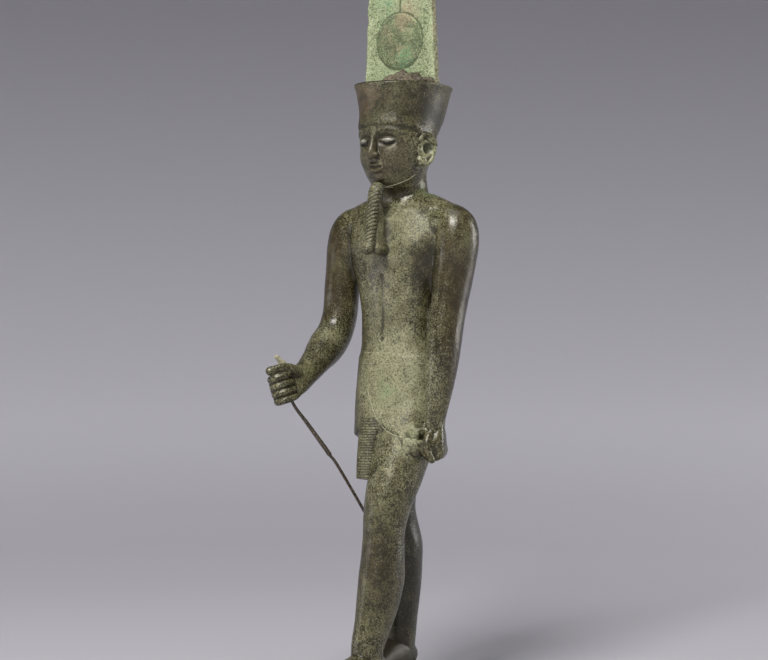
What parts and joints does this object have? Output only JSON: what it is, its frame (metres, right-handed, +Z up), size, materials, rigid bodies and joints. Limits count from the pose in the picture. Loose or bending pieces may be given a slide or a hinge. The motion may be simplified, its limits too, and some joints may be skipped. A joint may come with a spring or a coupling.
{
  "type": "amun-ra statue",
  "caption": "Striding bronze statuette in a flat crown with a tall double plume, plaited beard and kilt, a bent rod in one fist, on a low base.",
  "frame": {"origin": "middle of the base's underside", "axes": "+Z up, the figure faces -Y and its left side is +X"},
  "size_m": [0.0542, 0.068, 0.25],
  "materials": {
    "bronze": "worn dark bronze with a thin olive green patina",
    "green_bronze": "matt pale green patina",
    "brown_bronze": "dark brown patina",
    "silver": "dull silver inlay"
  },
  "bodies": {
    "root": {"figure": "bronze", "double_plume": "green_bronze", "sceptre_rod": "brown_bronze", "left_eye_inlay": "silver", "right_eye_inlay": "silver"}
  },
  "joints": []
}
